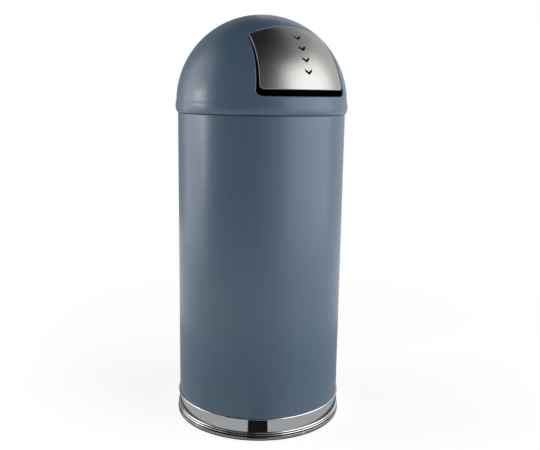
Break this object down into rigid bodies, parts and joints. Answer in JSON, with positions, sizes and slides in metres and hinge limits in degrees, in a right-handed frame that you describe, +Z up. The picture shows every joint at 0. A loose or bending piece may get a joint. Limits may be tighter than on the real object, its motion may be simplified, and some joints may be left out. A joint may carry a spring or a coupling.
{
  "type": "dome top waste receptacle",
  "caption": "Round steel litter bin on a bright base ring, with a lift-off dome, a sprung push flap in the dome and a removable galvanised liner.",
  "frame": {"origin": "centre of the can on the floor", "axes": "+Z up the can, the push flap faces -Y, +X to the right of someone who faces the flap"},
  "size_m": [0.3932, 0.3932, 0.926],
  "materials": {
    "slate_paint": "smooth semi-gloss enamel, slate blue-grey",
    "chrome": "bright chrome plate",
    "satin_steel": "satin stainless sheet with soft reflections",
    "zinc": "bright zinc plate",
    "galvanised": "hot-dip galvanised sheet with a faint spangle",
    "spring_steel": "oiled spring wire",
    "black_vinyl": "matt vinyl",
    "black_rubber": "matt rubber",
    "nylon": "natural nylon"
  },
  "bodies": {
    "can": {"can_shell": "slate_paint", "bottom_pan": "slate_paint", "base_ring": "chrome", "floor_ring": "black_vinyl", "base_rivet_1": "chrome", "base_rivet_2": "chrome", "base_rivet_3": "chrome", "base_rivet_4": "chrome"},
    "dome": {"dome_shell": "slate_paint", "dome_collar": "slate_paint", "hinge_rod": "zinc", "hinge_bracket_left": "zinc", "hinge_bracket_right": "zinc", "rod_clip_left": "spring_steel", "rod_clip_right": "spring_steel", "stop_sleeve_left": "black_rubber", "stop_sleeve_right": "black_rubber", "torsion_spring_left": "spring_steel", "torsion_spring_right": "spring_steel"},
    "flap": {"flap_panel": "satin_steel", "flap_ear_left": "zinc", "flap_ear_right": "zinc", "flap_bush_left": "nylon", "flap_bush_right": "nylon"},
    "liner": {"liner_wall": "galvanised", "liner_bottom": "galvanised", "handle_ear_left_front": "zinc", "handle_ear_left_back": "zinc", "handle_ear_right_front": "zinc", "handle_ear_right_back": "zinc"},
    "left_handle": {"liner_handle_left": "zinc"},
    "right_handle": {"liner_handle_right": "zinc"}
  },
  "joints": [
    {"name": "dome_lift", "type": "slide", "parent": "can", "child": "dome", "axis": [0, 0, 1], "range_m": [0, 0.9]},
    {"name": "flap_swing", "type": "hinge", "parent": "dome", "child": "flap", "pos_m": [0, -0.09686, 0.86484], "axis": [1, 0, 0], "range_deg": [0, 60], "stiffness_Nm_per_rad": 0.5, "springref_deg": -45.84, "deforming": ["torsion_spring_left", "torsion_spring_right"]},
    {"name": "liner_lift", "type": "slide", "parent": "can", "child": "liner", "axis": [0, 0, 1], "range_m": [0, 0.71]},
    {"name": "left_handle_swing", "type": "hinge", "parent": "liner", "child": "left_handle", "pos_m": [-0.1602, 0, 0.6503], "axis": [0, -1, 0], "range_deg": [0, 150]},
    {"name": "right_handle_swing", "type": "hinge", "parent": "liner", "child": "right_handle", "pos_m": [0.1602, 0, 0.6503], "axis": [0, 1, 0], "range_deg": [0, 150]}
  ],
  "couplings": [
    {"joint": "liner_lift", "follows": "dome_lift", "ratio": 0.78}
  ]
}
